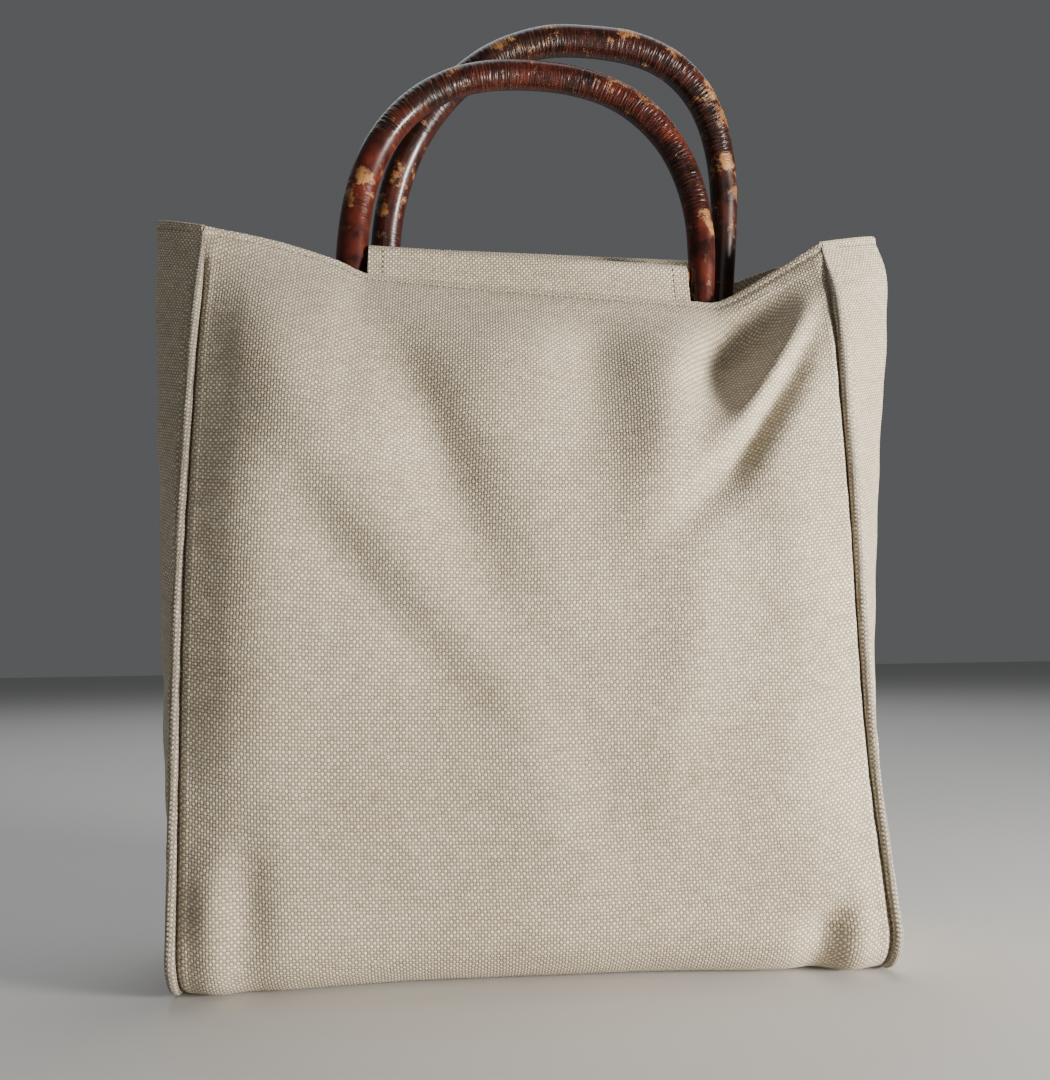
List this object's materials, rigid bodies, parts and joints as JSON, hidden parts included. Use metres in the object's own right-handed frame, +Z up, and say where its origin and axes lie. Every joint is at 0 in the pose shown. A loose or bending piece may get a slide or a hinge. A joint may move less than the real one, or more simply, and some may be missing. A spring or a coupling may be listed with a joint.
{
  "type": "wooden handle bag",
  "caption": "Upright canvas box bag with side gussets, piped seams and two bent-stick handles held in folded tabs.",
  "frame": {"origin": "middle of the bag's plan, on the surface that it stands on", "axes": "+Z up, the front panel facing -Y, +X to the bag's right as seen from the front"},
  "size_m": [0.4094, 0.1324, 0.5089],
  "materials": {
    "canvas": "beige plain-weave canvas, matte",
    "piping": "the same canvas rolled round a cord",
    "bark_wood": "bent stick with its bark, dark red-brown with tan patches, under gloss lacquer",
    "plain_wood": "plain hidden dowel"
  },
  "bodies": {
    "root": {"body_panel": "canvas", "gusset_left": "canvas", "gusset_right": "canvas", "piping_left": "piping", "piping_right": "piping", "handle_arch_front": "bark_wood", "handle_arch_rear": "bark_wood", "handle_bar_front": "plain_wood", "handle_bar_rear": "plain_wood"}
  },
  "joints": []
}
